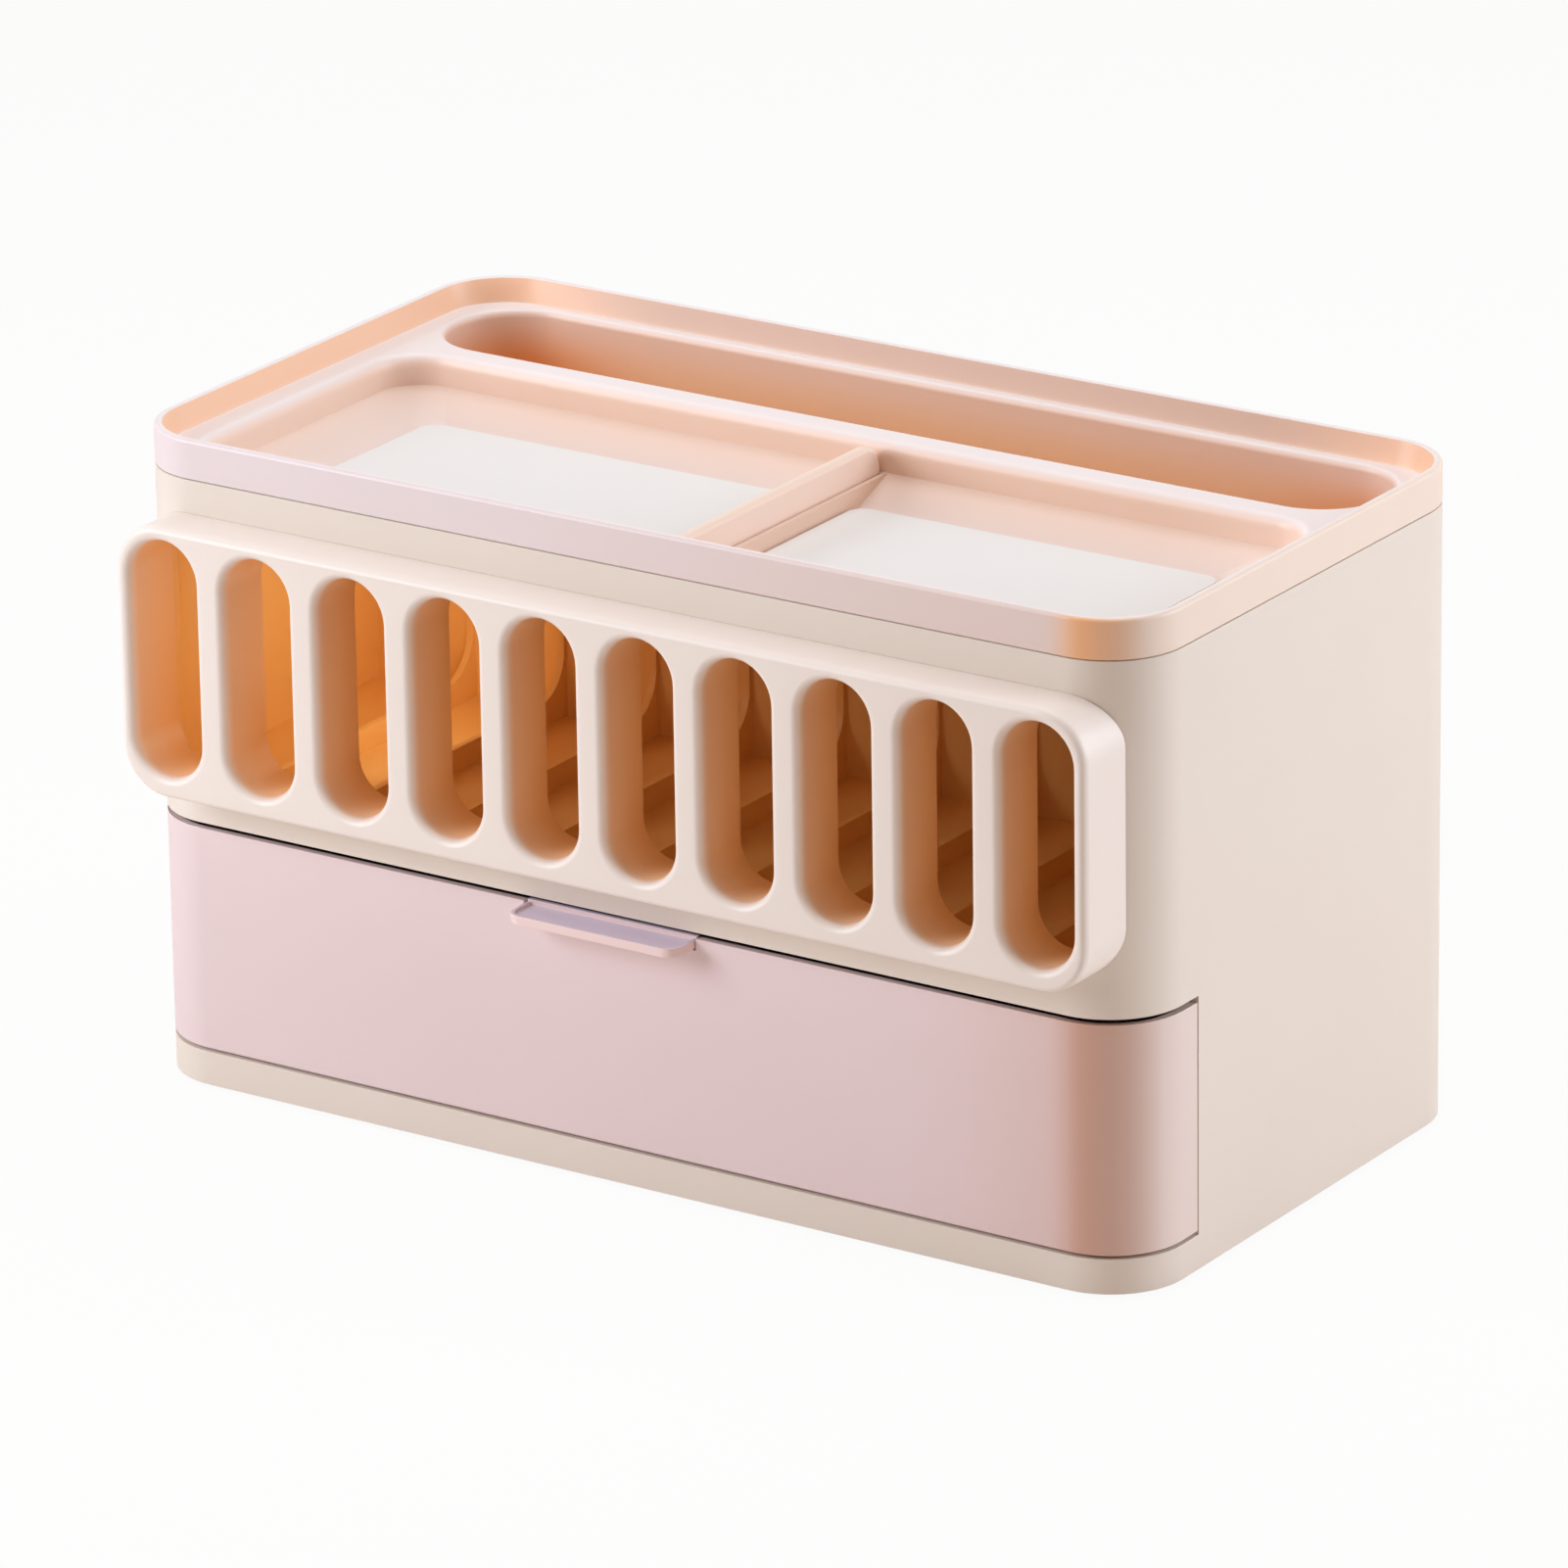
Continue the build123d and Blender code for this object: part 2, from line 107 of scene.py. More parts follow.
def merged_copy(node):
    """A bmesh of a CAD node with its loose triangles joined into whole flat faces."""
    shape = bmesh.new()
    shape.from_mesh(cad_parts[node].data)
    bmesh.ops.remove_doubles(shape, verts=shape.verts, dist=WELD)
    bmesh.ops.dissolve_limit(shape, angle_limit=FLAT_TURN, verts=shape.verts, edges=shape.edges)
    return shape


def past_rectangle(spot, core):
    """The nearest point of a flat core rectangle, and the way from there to the spot."""
    near = Vector([max(-c, min(c, s)) for c, s in zip(core, spot)])
    return near, spot - near


def round_edges(shape, radius, segments=2, chosen=lambda edge: True):
    """Bevels the edges that turn by more than a facet, out of those that are chosen."""
    sharp = [e for e in shape.edges if len(e.link_faces) == 2
             and e.calc_face_angle(0.0) > FACET_TURN and chosen(e)]
    bmesh.ops.bevel(shape, geom=sharp, offset=radius, offset_type="OFFSET", segments=segments,
                    profile=0.5, affect="EDGES", material=-1, clamp_overlap=True)


def finish_piece(shape, name, body, slot, material, *replaced):
    """Makes the bmesh a named object that rides on its body and stands for its CAD nodes."""
    for face in shape.faces:
        face.smooth = True
    for edge in shape.edges:
        edge.smooth = not (len(edge.link_faces) == 2 and edge.calc_face_angle(0.0) > FACET_TURN)
    mesh = bpy.data.meshes.new(name)
    shape.to_mesh(mesh)
    shape.free()
    piece = bpy.data.objects.new(name, mesh)
    bpy.context.scene.collection.objects.link(piece)
    mesh.materials.append(material)
    flat = piece.modifiers.new("flat faces stay flat", "WEIGHTED_NORMAL")
    flat.keep_sharp = True
    flat.weight = 100
    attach(piece, body)
    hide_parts(*replaced)
    print(name, len(mesh.vertices), "vertices", len(mesh.polygons), "faces")


# %% [markdown]
# ## Rolling a wall over into a face
# Where fingers or pens slide over an edge, the mould has a generous lip. The plain chamfer of the
# solid is cut away there. The open rim that stays is extruded in small steps, and each step is
# moved round a quarter turn, so the wall rolls over into the flat face. The face is filled last.
# A bevel could do it too, but it goes wrong where a flat face has holes, as both faces here have.

# %% A rim that rolls over
LIP_STEPS = 6


def roll_over(shape, rim, axes, middle, core, radius, lip, level, drop):
    """Carries an open rim round a quarter turn to a level, and gives its new edges.

    The rim is a rounded rectangle or a slot: a core grown by a radius. Axes are the two of its
    plan and the one of its depth, and a lip below zero turns inwards, as at an outer edge."""
    across, along, deep = axes
    edges = list(rim)
    for step in range(LIP_STEPS + 1):
        if step:
            grown = bmesh.ops.extrude_edge_only(shape, edges=edges)["geom"]
            edges = [e for e in grown if isinstance(e, bmesh.types.BMEdge) and e.is_boundary]
        turn = math.pi / 2 * step / LIP_STEPS
        for vertex in {v for e in edges for v in e.verts}:
            spot = Vector((vertex.co[across], vertex.co[along])) - Vector(middle)
            near, way = past_rectangle(spot, core)
            out = near + way.normalized() * (radius + lip * (1 - math.cos(turn)))
            vertex.co[across] = middle[0] + out.x
            vertex.co[along] = middle[1] + out.y
            vertex.co[deep] = level + drop * (1 - math.sin(turn))
    return edges


def fill_flat(shape, edges, normal):
    """Fills the flat face between its rims."""
    bmesh.ops.triangle_fill(shape, use_beauty=True, edges=edges, normal=normal)
    bmesh.ops.recalc_face_normals(shape, faces=shape.faces)


print("a lip has", LIP_STEPS, "steps")

# %% [markdown]
# ## The shadow line under the rim
# Where the tray meets the housing, the eye sees a thin dark line. The solids have a shallow
# chamfer on both sides of that seam, which catches light. The chamfer is made narrow and deep
# here by moving its two rings of vertices, so it holds a shadow, and it keeps its place. A dark
# stripe in the colour would be quicker, but it would stay when the tray is lifted off.

# %% A narrow, deep seam
SEAM_CHAMFER = 0.4 * MM
SEAM_HALF = 0.22 * MM
SEAM_DEPTH = 1.1 * MM
SEAM_RADIUS = 0.08 * MM


def at_seam(edge):
    """Whether an edge lies in the seam between housing and tray."""
    return all(abs(v.co.z - seam_height) < SEAM_CHAMFER for v in edge.verts)


def deepen_seam(shape, side):
    """Makes the seam's chamfer narrow and deep. Side is 1 above the seam and -1 below it."""
    moved = 0
    for vertex in shape.verts:
        near, way = past_rectangle(vertex.co.xy - box_middle.xy, box_core)
        height = vertex.co.z - seam_height
        if abs(height) < NEAR and way.length > BOX_CORNER - SEAM_CHAMFER - NEAR:
            out = near + way.normalized() * (BOX_CORNER - SEAM_DEPTH)
            vertex.co.x, vertex.co.y = box_middle.x + out.x, box_middle.y + out.y
            moved += 1
        elif abs(height - side * SEAM_CHAMFER) < NEAR and way.length > BOX_CORNER - NEAR:
            vertex.co.z = seam_height + side * SEAM_HALF
            moved += 1
    round_edges(shape, SEAM_RADIUS, chosen=at_seam)
    print("seam vertices moved", moved)


print("seam at %.1f mm" % (seam_height / MM))

# %% [markdown]
# ## Finishes
# Every part is ABS or a close relative, moulded in a tool with a spark-eroded surface. That gives
# a satin sheen with a very fine grain and a faint unevenness of tone from the flow of the melt.
# One function builds that finish over a colour, and five parts work out their own colour first.
# The real grain is about a fifth of a millimetre, too fine for the render, so it is drawn coarser.

# %% Small helpers for materials
RGBA = {"data_type": "RGBA"}
SMOOTH = {"interpolation_type": "SMOOTHSTEP"}
FALLING = {3: 1.0, 4: 0.0}


def linear(code):
    """A colour in linear values from an sRGB hex code such as E8DCD0."""
    parts = [int(code[i:i + 2], 16) / 255 for i in (0, 2, 4)]
    values = [p / 12.92 if p <= 0.04045 else ((p + 0.055) / 1.055) ** 2.4 for p in parts]
    return (*values, 1.0)


def add(tree, kind, settings, links):
    """A node with its settings and its linked inputs, by name or number, linked from a socket or
    from a node's first output.

    In a MapRange, 1 and 2 are where the range starts and ends, and 3 and 4 what it gives there.
    In a Mix of colours, 0 is the amount, and 6 and 7 are the colours, which come out as 2."""
    node = tree.nodes.new("ShaderNode" + kind)
    for key, value in settings.items():
        if isinstance(key, int) or key in node.inputs:
            node.inputs[key].default_value = value
        else:
            setattr(node, key, value)
    for key, source in links.items():
        socket = source.outputs[0] if isinstance(source, bpy.types.Node) else source
        tree.links.new(socket, node.inputs[key])
    return node


def new_material(name):
    """An empty node material, its node tree, and the object's own coordinates."""
    material = bpy.data.materials.new(name)
    material.use_nodes = True
    tree = material.node_tree
    tree.nodes.clear()
    return material, tree, add(tree, "TexCoord", {}, {}).outputs["Object"]


print("cream is", [round(v, 3) for v in linear("EADFD3")[:3]])

# %% The satin moulded finish
FLOW_SIZE = 38.0 * MM
FLOW_TINT = linear("CEBCAE")
FLOW_START, FLOW_END = 0.35, 0.75
FLOW_AMOUNT = 0.05
GRAIN_SIZE = 0.55 * MM
GRAIN_DEPTH = 0.006 * MM
GLOSSIER, DULLER = 0.04, 0.05
ABS_IOR = 1.53


def moulded(tree, place, colour, roughness, grain=GRAIN_SIZE, depth=GRAIN_DEPTH,
            flow=FLOW_AMOUNT, ior=ABS_IOR):
    """The satin surface, over a colour that is an sRGB hex code or a socket."""
    melt = add(tree, "TexNoise", {"Scale": 1 / FLOW_SIZE, "Detail": 2.0}, {"Vector": place})
    shade = add(tree, "MapRange", {1: FLOW_START, 2: FLOW_END, 4: flow}, {0: melt})
    tone = add(tree, "Mix", RGBA | {7: FLOW_TINT}, {0: shade})
    if isinstance(colour, str):
        tone.inputs[6].default_value = linear(colour)
    else:
        tree.links.new(colour, tone.inputs[6])
    spark = add(tree, "TexNoise", {"Scale": 1 / grain, "Detail": 3.0}, {"Vector": place})
    gloss = add(tree, "MapRange", {3: roughness - GLOSSIER, 4: roughness + DULLER}, {0: spark})
    bump = add(tree, "Bump", {"Strength": 1.0, "Distance": depth}, {"Height": spark})
    surface = add(tree, "BsdfPrincipled", {"IOR": ior},
                  {"Base Color": tone.outputs[2], "Roughness": gloss, "Normal": bump})
    add(tree, "OutputMaterial", {}, {"Surface": surface})


def satin_abs(name, colour, roughness=0.42):
    """ABS moulded in a spark-eroded tool, in one colour. The eye sees a soft, broad highlight."""
    material, tree, place = new_material(name)
    moulded(tree, place, colour, roughness)
    return material


cream_abs = satin_abs("cream ABS moulded satin", "EADFD3")
blush_abs = satin_abs("blush ABS moulded satin", "EBD7D8")
caramel_abs = satin_abs("caramel ABS moulded matt", "FFC878", 0.5)
print("plain finishes made")

# %% [markdown]
# ## How far past a core
# Where one colour meets another inside a part, the line between them follows an outline: a slot,
# or the box's own edge. Both are a core rectangle grown by a radius. Four vector nodes tell how far
# a point lies past such a core: go to its middle, fold, take the core off, and keep what is left.
# The length of that is the distance, and its side along X tells where the short ends begin.

# %% Past a core, and painted warm shade towards the ends
FAR = 10.0
CORNER_RAMP = 11.0 * MM


def past_core(tree, place, middle, half):
    """What is left of a place past a core box. A half of FAR leaves that axis out."""
    spot = add(tree, "VectorMath", {"operation": "SUBTRACT", 1: middle}, {0: place})
    fold = add(tree, "VectorMath", {"operation": "ABSOLUTE"}, {0: spot})
    past = add(tree, "VectorMath", {"operation": "SUBTRACT", 1: half}, {0: fold})
    return add(tree, "VectorMath", {"operation": "MAXIMUM", 1: (0.0, 0.0, 0.0)}, {0: past})


def painted_warm_shade(tree, place, plain, warm, early):
    """Painted warm shade: a colour that warms towards the right end of the box, where the key
    lamp's light falls off, and a little round its left corners.

    Early is how far before the right corner it starts."""
    middle = (box_middle.x - early / 2, box_middle.y, 0.0)
    half = (box_core[0] - early / 2, box_core[1], FAR)
    sides = add(tree, "SeparateXYZ", {}, {0: past_core(tree, place, middle, half)})
    turned = add(tree, "MapRange", SMOOTH | {1: 0.0, 2: early + CORNER_RAMP},
                 {0: sides.outputs["X"]})
    mixed = add(tree, "Mix", RGBA | {6: linear(plain), 7: linear(warm)}, {0: turned})
    return mixed.outputs[2]


print("box core", [round(c / MM, 1) for c in box_core])

# %% [markdown]
# ## Painted shade round the right corner
# Round the right front corner, the rim and the drawer front show a narrow band of a deeper orange
# or brown, and are paler again on the side. The band is painted shade: the rounded corner faces
# away from both the key and the side lamp, and the colour darkens and warms it further. Light
# that travels inside the plastic could be rendered too, but it is slow and noisy at this size, so
# two mixes by place draw the band.

# %% A corner with painted shade
# Where the painted shade round the corner starts, where it is full, and where it fades.
CORNER_BEFORE = 5.5 * MM  # how far before the turn the band starts
CORNER_FULL = 4.5 * MM  # how far into the turn it is full
CORNER_PEAK = 0.3 * MM  # how far behind the front face it starts to fade


def painted_corner_shade(tree, place, plain, corner, side, fade):
    """Painted shade: a colour that darkens and warms round the right front corner, and fades to
    another on the side.
    """
    axes = add(tree, "SeparateXYZ", {}, {0: place})
    turn = box_middle.x + box_core[0]
    peak = tray_low.y + CORNER_PEAK
    into = add(tree, "MapRange", SMOOTH | {1: turn - CORNER_BEFORE, 2: turn + CORNER_FULL},
               {0: axes.outputs["X"]})
    along = add(tree, "MapRange", {1: peak, 2: peak + fade}, {0: axes.outputs["Y"]})
    tint = add(tree, "Mix", RGBA | {6: linear(corner), 7: linear(side)}, {0: along})
    shaded = add(tree, "Mix", RGBA, {0: into, 6: plain, 7: tint.outputs[2]})
    return shaded.outputs[2]


print("the corner's band is %.1f mm wide" % ((CORNER_BEFORE + CORNER_FULL) / MM))

# %% [markdown]
# ## The two-shot slots
# The rack's face is cream, but the walls of its slots are caramel: two melts meet in one mould.
# Cream runs over the lip and gives way to caramel as the wall goes straight. One slot is drawn,
# and the coordinates are wrapped at the pitch of the lanes, so one formula serves all ten.

# %% Cream face and caramel slots
LIP_BAND = (0.1 * MM, 1.6 * MM)  # past the slot's wall, where the caramel ends
MEET_BAND = (0.5 * MM, 3.3 * MM)  # behind the face, where the cream ends
DEEP_BAND = (3.0 * MM, 14.0 * MM)  # behind the face, where the caramel deepens


def two_shot_rack():
    """Cream face and lips, and caramel inside the slots that deepens to the rear."""
    material, tree, place = new_material("cream and caramel ABS two-shot moulded")
    wrapped = add(tree, "VectorMath", {"operation": "WRAP", 1: (LANE_PITCH, FAR, FAR),
                                       2: (0.0, -FAR, -FAR)}, {0: place})
    past = past_core(tree, wrapped.outputs[0], (LANE_PITCH / 2, 0.0, slot_middle),
                     (0.0, FAR, slot_straight))
    reach = add(tree, "VectorMath", {"operation": "LENGTH"}, {0: past}).outputs["Value"]
    axes = add(tree, "SeparateXYZ", {}, {0: place})
    inside = add(tree, "MapRange", SMOOTH | FALLING | {1: SLOT_WIDTH / 2 + LIP_BAND[0],
                                                       2: SLOT_WIDTH / 2 + LIP_BAND[1]},
                 {0: reach})
    depth = add(tree, "MapRange", {1: rack_low.y + MEET_BAND[0], 2: rack_low.y + MEET_BAND[1]},
                {0: axes.outputs["Y"]})
    caramel = add(tree, "Math", {"operation": "MULTIPLY"}, {0: inside, 1: depth})
    deeper = add(tree, "MapRange", SMOOTH | {1: rack_low.y + DEEP_BAND[0],
                                             2: rack_low.y + DEEP_BAND[1]},
                 {0: axes.outputs["Y"]})
    wall = add(tree, "Mix", RGBA | {6: linear("F5C89E"), 7: linear("FDC689")}, {0: deeper})
    colour = add(tree, "Mix", RGBA | {6: linear("F4E9E0")}, {0: caramel, 7: wall.outputs[2]})
    moulded(tree, place, colour.outputs[2], 0.4)
    return material


rack_abs = two_shot_rack()
print("rack finish made for", LANE_COUNT, "slots")

# %% [markdown]
# ## The tray, with painted light and shade
# The tray is pink. Inside, its colour is painted light and shade: level faces are painted pale,
# where the top light falls, upright walls peach as warm shade, more so towards the two ends, and
# the deep tub at the rear orange below the deck, as deeper shade. Outside, the pink gets painted
# warm shade towards the right end and round the right corner. The colour therefore follows the way
# a face looks and its place on the tray. To colour single faces would be simpler, but it needs a
# cut in the mesh wherever two colours meet, and these run into each other. The divider has the same
# finish, in one peach all over.

# %% Where the tray's colours meet
# The pale of level faces is painted light; the peach of upright walls and the dish's slope, the
# warmer tints towards the ends and the tub's orange are painted warm shade.
LEVEL_BAND = (0.2, 0.95)  # how level a face lies, from the walls' colour to the deck's
SLOPE_TINT = (0.45, 0.8)  # how much of the walls' colour the dish's slope has, foot and shoulder
SLOPE_TOP = (1.0 * MM, 3.0 * MM)  # above the shoulder, where that ends
END_BAND = (72.0 * MM, 116.0 * MM)  # from the middle, where the ends' colours come in
DECK_BAND = 0.6 * MM  # on both sides of the deck, where rim and dish meet
TUB_BAND = (14.0 * MM, 1.0 * MM)  # below the deck, where the tub's orange is full and ends
TUB_EDGE = (3.0 * MM, 1.0 * MM)  # before the tub's front wall, where the orange comes in
SKIN = (1.1 * MM, 0.4 * MM)  # below the outer face, where the skin's colour ends and is full


def painted_wall_shade(tree, height):
    """How much a face has of the walls' painted warm shade rather than the level faces' painted
    pale: all of it upright, some on the dish's slope.
    """
    facing = add(tree, "SeparateXYZ", {}, {0: add(tree, "TexCoord", {}, {}).outputs["Normal"]})
    turned = add(tree, "Math", {"operation": "ABSOLUTE"}, {0: facing.outputs["Z"]})
    upright = add(tree, "MapRange", SMOOTH | FALLING | {1: LEVEL_BAND[0], 2: LEVEL_BAND[1]},
                  {0: turned})
    slope = add(tree, "MapRange", {1: dish_shoulder - DISH_SLOPE, 2: dish_shoulder,
                                   3: SLOPE_TINT[0], 4: SLOPE_TINT[1]}, {0: height})
    under = add(tree, "MapRange", FALLING | {1: dish_shoulder + SLOPE_TOP[0],
                                             2: dish_shoulder + SLOPE_TOP[1]}, {0: height})
    sloping = add(tree, "Math", {"operation": "MULTIPLY"}, {0: slope, 1: under})
    return add(tree, "Math", {"operation": "MAXIMUM"}, {0: upright, 1: sloping})


def in_tub(tree, height, depth):
    """How far down in the rear tub a place lies, from 0 at the deck to 1 well below it, where the
    tub's painted orange shade is full.
    """
    sunk = add(tree, "MapRange", SMOOTH | FALLING | {1: deck_height - TUB_BAND[0],
                                                     2: deck_height - TUB_BAND[1]}, {0: height})
    behind = add(tree, "MapRange", {1: TUB_FRONT - TUB_EDGE[0], 2: TUB_FRONT - TUB_EDGE[1]},
                 {0: depth})
    return add(tree, "Math", {"operation": "MULTIPLY"}, {0: sunk, 1: behind})


def in_skin(tree, place):
    """Whether a place lies in the outer skin of the box: 1 there and 0 further inside."""
    past = past_core(tree, place, (box_middle.x, box_middle.y, 0.0), (*box_core, FAR))
    reach = add(tree, "VectorMath", {"operation": "LENGTH"}, {0: past}).outputs["Value"]
    return add(tree, "MapRange", SMOOTH | {1: BOX_CORNER - SKIN[0], 2: BOX_CORNER - SKIN[1]},
               {0: reach})


print("tub's orange starts %.0f mm behind the origin" % (TUB_FRONT / MM))

# %% Pink, with painted light and shade inside and round the right corner
# The skin is the plastic's own pink. The deck tint is painted light; the dish, rim and tub tints,
# the skin in painted warm shade, and the corner and right side tints are painted shade.
TRAY_TINTS = {
    "skin": "EADCDD", "skin in painted warm shade": "E9D5CD", "corner": "FABA84", "right side": "F4E1D1",
    "deck": "F9F0EE", "dish": "EBCAB4", "dish at the ends": "F5D9C7",
    "rim": "D5AE95", "rim at the ends": "FACAA6", "tub": "FFD4A8", "tub at the ends": "FFB064"}
DIVIDER_TINTS = dict.fromkeys(TRAY_TINTS, "FBE1D1") | {"deck": "F9E2D0"}
SKIN_EARLY = 170.0 * MM
SKIN_FADE = 7.5 * MM


def tray_painted_light_and_shade(name, tints):
    """Pink skin outside, with painted warm shade at the right end and round the corner; inside, a
    deck painted pale where the top light falls, and painted warm shade: peach walls and dish, and
    an orange tub.
    """
    material, tree, place = new_material(name)
    axes = add(tree, "SeparateXYZ", {}, {0: place})
    height = axes.outputs["Z"]
    aside = add(tree, "Math", {"operation": "ABSOLUTE"}, {0: axes.outputs["X"]})
    end = add(tree, "MapRange", SMOOTH | {1: END_BAND[0], 2: END_BAND[1]}, {0: aside})
    dish, rim, tub = [
        add(tree, "Mix", RGBA | {6: linear(tints[part]), 7: linear(tints[part + " at the ends"])},
            {0: end}).outputs[2] for part in ("dish", "rim", "tub")]
    above = add(tree, "MapRange", {1: deck_height - DECK_BAND, 2: deck_height + DECK_BAND},
                {0: height})
    walls = add(tree, "Mix", RGBA, {0: above, 6: dish, 7: rim})
    shallow = add(tree, "Mix", RGBA | {6: linear(tints["deck"])},
                  {0: painted_wall_shade(tree, height), 7: walls.outputs[2]})
    # The tub's orange is painted shade, full deep below the deck.
    inside = add(tree, "Mix", RGBA, {0: in_tub(tree, height, axes.outputs["Y"]),
                                     6: shallow.outputs[2], 7: tub})
    # Painted warm shade towards the right end, and painted shade round the right front corner.
    outside = painted_warm_shade(tree, place, tints["skin"], tints["skin in painted warm shade"], SKIN_EARLY)
    outside = painted_corner_shade(tree, place, outside, tints["corner"], tints["right side"], SKIN_FADE)
    colour = add(tree, "Mix", RGBA, {0: in_skin(tree, place), 6: inside.outputs[2], 7: outside})
    moulded(tree, place, colour.outputs[2], 0.4)
    return material


tray_abs = tray_painted_light_and_shade("pink ABS moulded satin", TRAY_TINTS)
divider_abs = tray_painted_light_and_shade("peach ABS moulded satin", DIVIDER_TINTS)
print("tray finishes made")

# %% [markdown]
# ## The drawer front
# The front is moulded round both corners of the box. Its blush is painted warmer towards the
# right end, as painted shade where the key lamp's light falls off, and deepest at the turn of the
# corner, as painted shade between the lamps. A mix along the front's length gives that. A second
# material would show a line where it starts.

# %% Blush with painted warm shade to the right
# How far before the corner the painted warm shade starts, and how far along the side the painted
# corner shade fades.
FRONT_EARLY = 42.0 * MM
FRONT_FADE = 11.0 * MM


def blush_front():
    """Blush ABS, satin, with painted warm shade towards the right end and painted shade round the
    right corner.
    """
    material, tree, place = new_material("blush ABS moulded satin with painted warm shade")
    # The peach to the right and the brown round the corner are painted shade.
    blush = painted_warm_shade(tree, place, "EBD7D8", "E3C6BF", FRONT_EARLY)
    blush = painted_corner_shade(tree, place, blush, "D2A591", "EAD8D1", FRONT_FADE)
    moulded(tree, place, blush, 0.42)
    return material


front_abs = blush_front()
print("drawer front finish made")

# %% [markdown]
# ## The pull tab
# The tab is the same blush plastic, polished in the mould. Its channel looks up at the ceiling,
# and a polished level face turns that a little lavender, while its plate stays pink. A real
# reflection would need a room round the box, so the colour follows the way a face looks.

# %% Polished tab
TAB_LEVEL = (0.5, 0.95)  # how level a face lies, from pink to lavender


def polished_tab():
    """Polished blush ABS: pink where it stands, and cooler where it lies level."""
    material, tree, place = new_material("blush ABS moulded polished")
    facing = add(tree, "SeparateXYZ", {}, {0: add(tree, "TexCoord", {}, {}).outputs["Normal"]})
    level = add(tree, "MapRange", SMOOTH | {1: TAB_LEVEL[0], 2: TAB_LEVEL[1]},
                {0: facing.outputs["Z"]})
    colour = add(tree, "Mix", RGBA | {6: linear("F8DEDA"), 7: linear("E9DEF3")}, {0: level})
    moulded(tree, place, colour.outputs[2], 0.3)
    return material


tab_abs = polished_tab()
print("tab finish made")

# %% [markdown]
# ## Mats, feet and screws
# The mats are white silicone sheet with a fine matt texture: it spreads light almost evenly, so
# they read as the whitest thing on the box. The feet are dark grey foamed rubber, and the
# screws are zinc plated steel, the only metal.

# %% Silicone, rubber and zinc
MARKS_SIZE = 0.4 * MM
ZINC_GLOSS = (0.25, 0.42)


def silicone_sheet():
    """White silicone, calendered matt. Nearly no highlight, and a fine even grain."""
    material, tree, place = new_material("white silicone calendered matt")
    moulded(tree, place, "F3F3F1", 0.7, grain=0.9 * MM, depth=0.02 * MM, flow=0.02, ior=1.41)
    return material


def foamed_rubber():
    """Grey EVA rubber, die cut. Its cells give a coarse dry surface."""
    material, tree, place = new_material("grey EVA rubber die cut")
    moulded(tree, place, "6B6866", 0.85, grain=0.7 * MM, depth=0.05 * MM, flow=0.1, ior=1.45)
    return material


def zinc_steel():
    """Carbon steel, zinc plated. A metal with fine turning marks and a soft sheen."""
    material, tree, place = new_material("carbon steel zinc plated")
    marks = add(tree, "TexNoise", {"Scale": 1 / MARKS_SIZE, "Detail": 2.0}, {"Vector": place})
    tone = add(tree, "Mix", RGBA | {6: linear("B9BABC"), 7: linear("DADBDD")}, {0: marks})
    gloss = add(tree, "MapRange", {3: ZINC_GLOSS[0], 4: ZINC_GLOSS[1]}, {0: marks})
    surface = add(tree, "BsdfPrincipled", {"Metallic": 1.0},
                  {"Base Color": tone.outputs[2], "Roughness": gloss})
    add(tree, "OutputMaterial", {}, {"Surface": surface})
    return material


silicone = silicone_sheet()
rubber = foamed_rubber()
zinc = zinc_steel()
print("mat, foot and screw finishes made")

# %% [markdown]
# ## The housing, the drawer and the divider
# These mouldings only need their edges softened. The radius is a fifth of a millimetre
# where a part closes against its neighbour, and larger where fingers touch. The upper edge of the
# drawer front falls away to the inside, so the joint above it shows as a dark line. Only its
# inner vertices are lowered, which keeps the outer edge at its height.

# %% Plain mouldings
CLOSE_EDGE = 0.2 * MM
TOUCHED_EDGE = 0.3 * MM
SHEET_EDGE = 0.15 * MM
TOP_FALL = 0.6 * MM


def simple_piece(node, name, body, slot, material, radius, segments=2):
    """Puts a softened copy of one node in its place."""
    shape = merged_copy(node)
    round_edges(shape, radius, segments)
    finish_piece(shape, name, body, slot, material, node)


housing = merged_copy("housing_shell")
deepen_seam(housing, -1)
round_edges(housing, CLOSE_EDGE, chosen=lambda e: not at_seam(e))
finish_piece(housing, "housing_moulding", "housing", "cream_plastic", cream_abs, "housing_shell")

front = merged_copy("drawer_front")
front_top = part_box("drawer_front")[1].z
top_faces = [f for f in front.faces if all(v.co.z > front_top - NEAR for v in f.verts)]
bmesh.ops.triangulate(front, faces=top_faces)
for vertex in front.verts:
    way = past_rectangle(vertex.co.xy - box_middle.xy, box_core)[1]
    if vertex.co.z > front_top - NEAR and way.length < BOX_CORNER - NEAR:
        vertex.co.z -= TOP_FALL
round_edges(front, CLOSE_EDGE)
finish_piece(front, "drawer_front_moulding", "drawer", "blush_plastic", front_abs, "drawer_front")

simple_piece("pull_tab", "pull_tab_moulding", "drawer", "tab_plastic", tab_abs, CLOSE_EDGE)
simple_piece("tray_divider", "tray_divider_moulding", "divider", "divider_plastic", divider_abs,
             TOUCHED_EDGE, 3)
simple_piece("mat_left", "mat_left_sheet", "tray", "white_mat", silicone, SHEET_EDGE)
simple_piece("mat_right", "mat_right_sheet", "tray", "white_mat", silicone, SHEET_EDGE)

# %% [markdown]
# ## The pen rack
# The lips of the slots are the box's most touched edges and its brightest lines. Each of the ten
# rims and the outer edge of the frame are rolled over, and the face between them is filled.
# The outer walls of the first and last slot end a millimetre further back than the rest, so that
# no gap shows between them and the lining.

